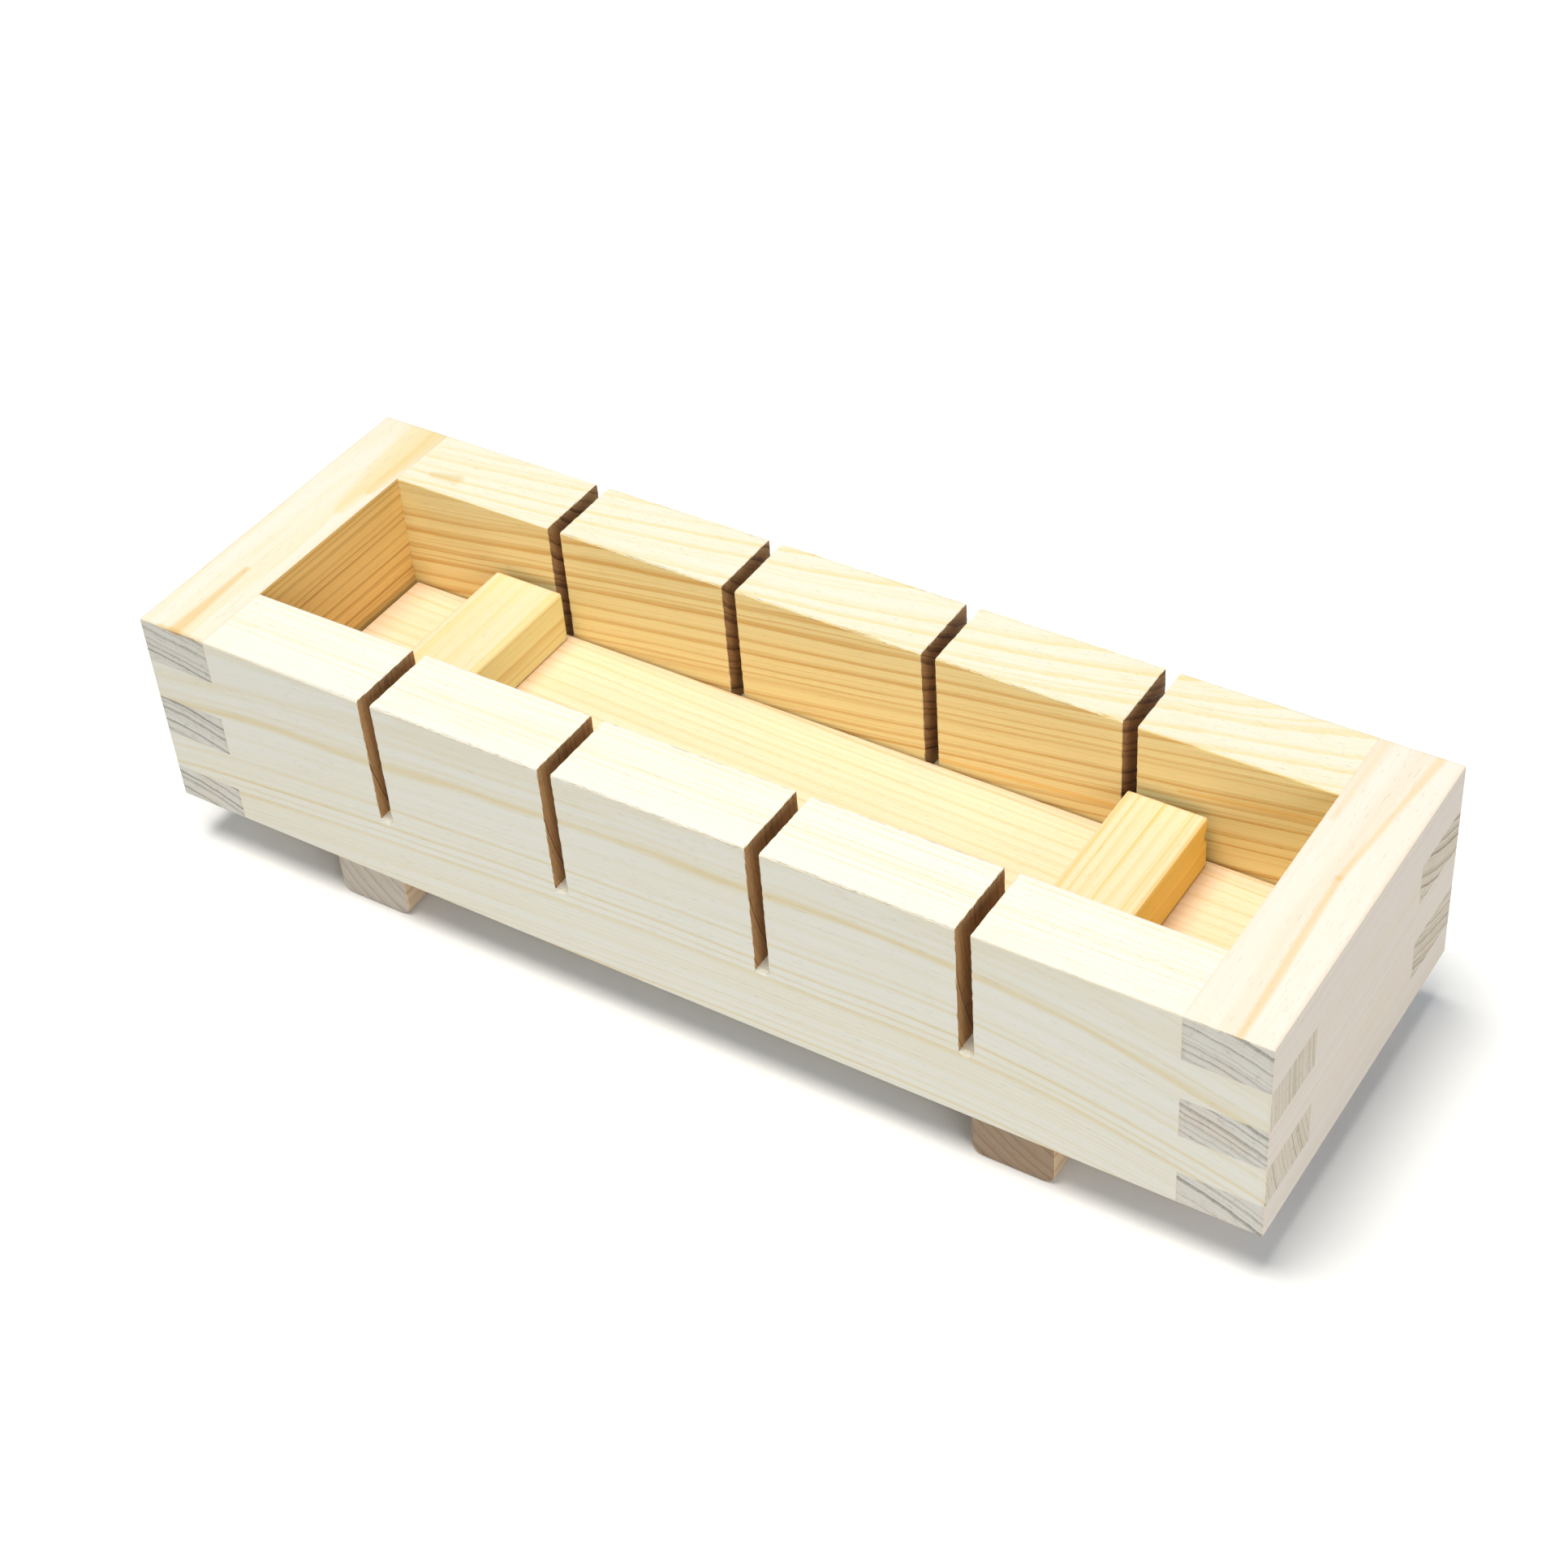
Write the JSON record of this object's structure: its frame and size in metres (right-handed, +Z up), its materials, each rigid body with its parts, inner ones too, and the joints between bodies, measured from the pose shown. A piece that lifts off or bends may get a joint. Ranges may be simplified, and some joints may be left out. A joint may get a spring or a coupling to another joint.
{
  "type": "slotted wooden press mold",
  "caption": "Rectangular wooden press mold: a finger-jointed frame with knife slots lifts off a footed base board, and a loose board with two cross handles presses down inside it.",
  "frame": {"origin": "on the table, under the middle of the frame", "axes": "+X along the frame, +Y across it to the back side board, +Z up, the way the frame and the press board lift off"},
  "size_m": [0.215, 0.07, 0.0505],
  "materials": {
    "frame_wood": "planed and sanded, bare",
    "board_wood": "planed, bare",
    "batten_wood": "planed, bare",
    "peg_wood": "turned, bare"
  },
  "bodies": {
    "base": {"base_board": "board_wood", "left_foot": "batten_wood", "right_foot": "batten_wood", "left_foot_pegs": "peg_wood", "right_foot_pegs": "peg_wood"},
    "frame": {"front_side": "frame_wood", "back_side": "frame_wood", "left_end": "frame_wood", "right_end": "frame_wood"},
    "press": {"press_board": "board_wood", "left_handle": "batten_wood", "right_handle": "batten_wood", "left_handle_pegs": "peg_wood", "right_handle_pegs": "peg_wood"}
  },
  "joints": [
    {"name": "frame_lift", "type": "slide", "parent": "base", "child": "frame", "axis": [0, 0, 1], "range_m": [0, 0.045]},
    {"name": "press_lift", "type": "slide", "parent": "base", "child": "press", "axis": [0, 0, 1], "range_m": [0, 0.09]}
  ]
}
